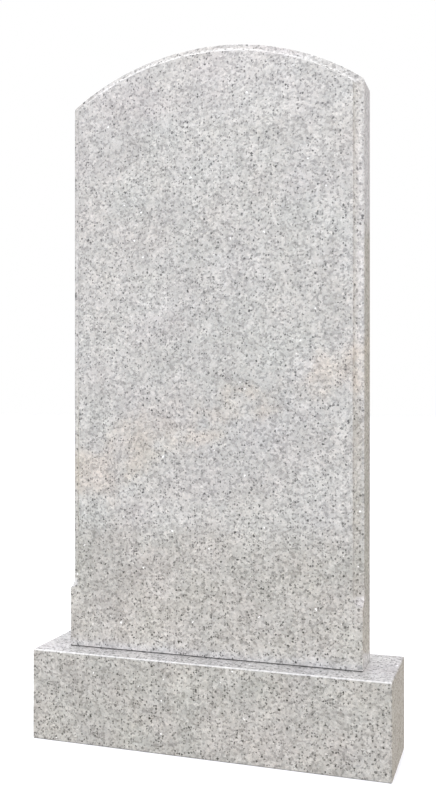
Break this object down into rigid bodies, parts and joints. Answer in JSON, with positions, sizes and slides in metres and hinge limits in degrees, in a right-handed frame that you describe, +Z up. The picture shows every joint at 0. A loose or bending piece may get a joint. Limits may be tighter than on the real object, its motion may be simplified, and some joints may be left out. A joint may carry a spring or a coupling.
{
  "type": "headstone",
  "caption": "Upright headstone: an arched granite tablet with a stopped cove round its front edge, standing on a plain rectangular base block, its polished face bare.",
  "frame": {"origin": "middle of the base block's underside, on the ground", "axes": "+Z up, +X to the right as the reader faces the stone, +Y to the back, so the inscription face looks along -Y"},
  "size_m": [0.6, 0.15, 1.15],
  "materials": {
    "granite": "polished"
  },
  "bodies": {
    "root": {"base": "granite", "tablet": "granite"}
  },
  "joints": []
}
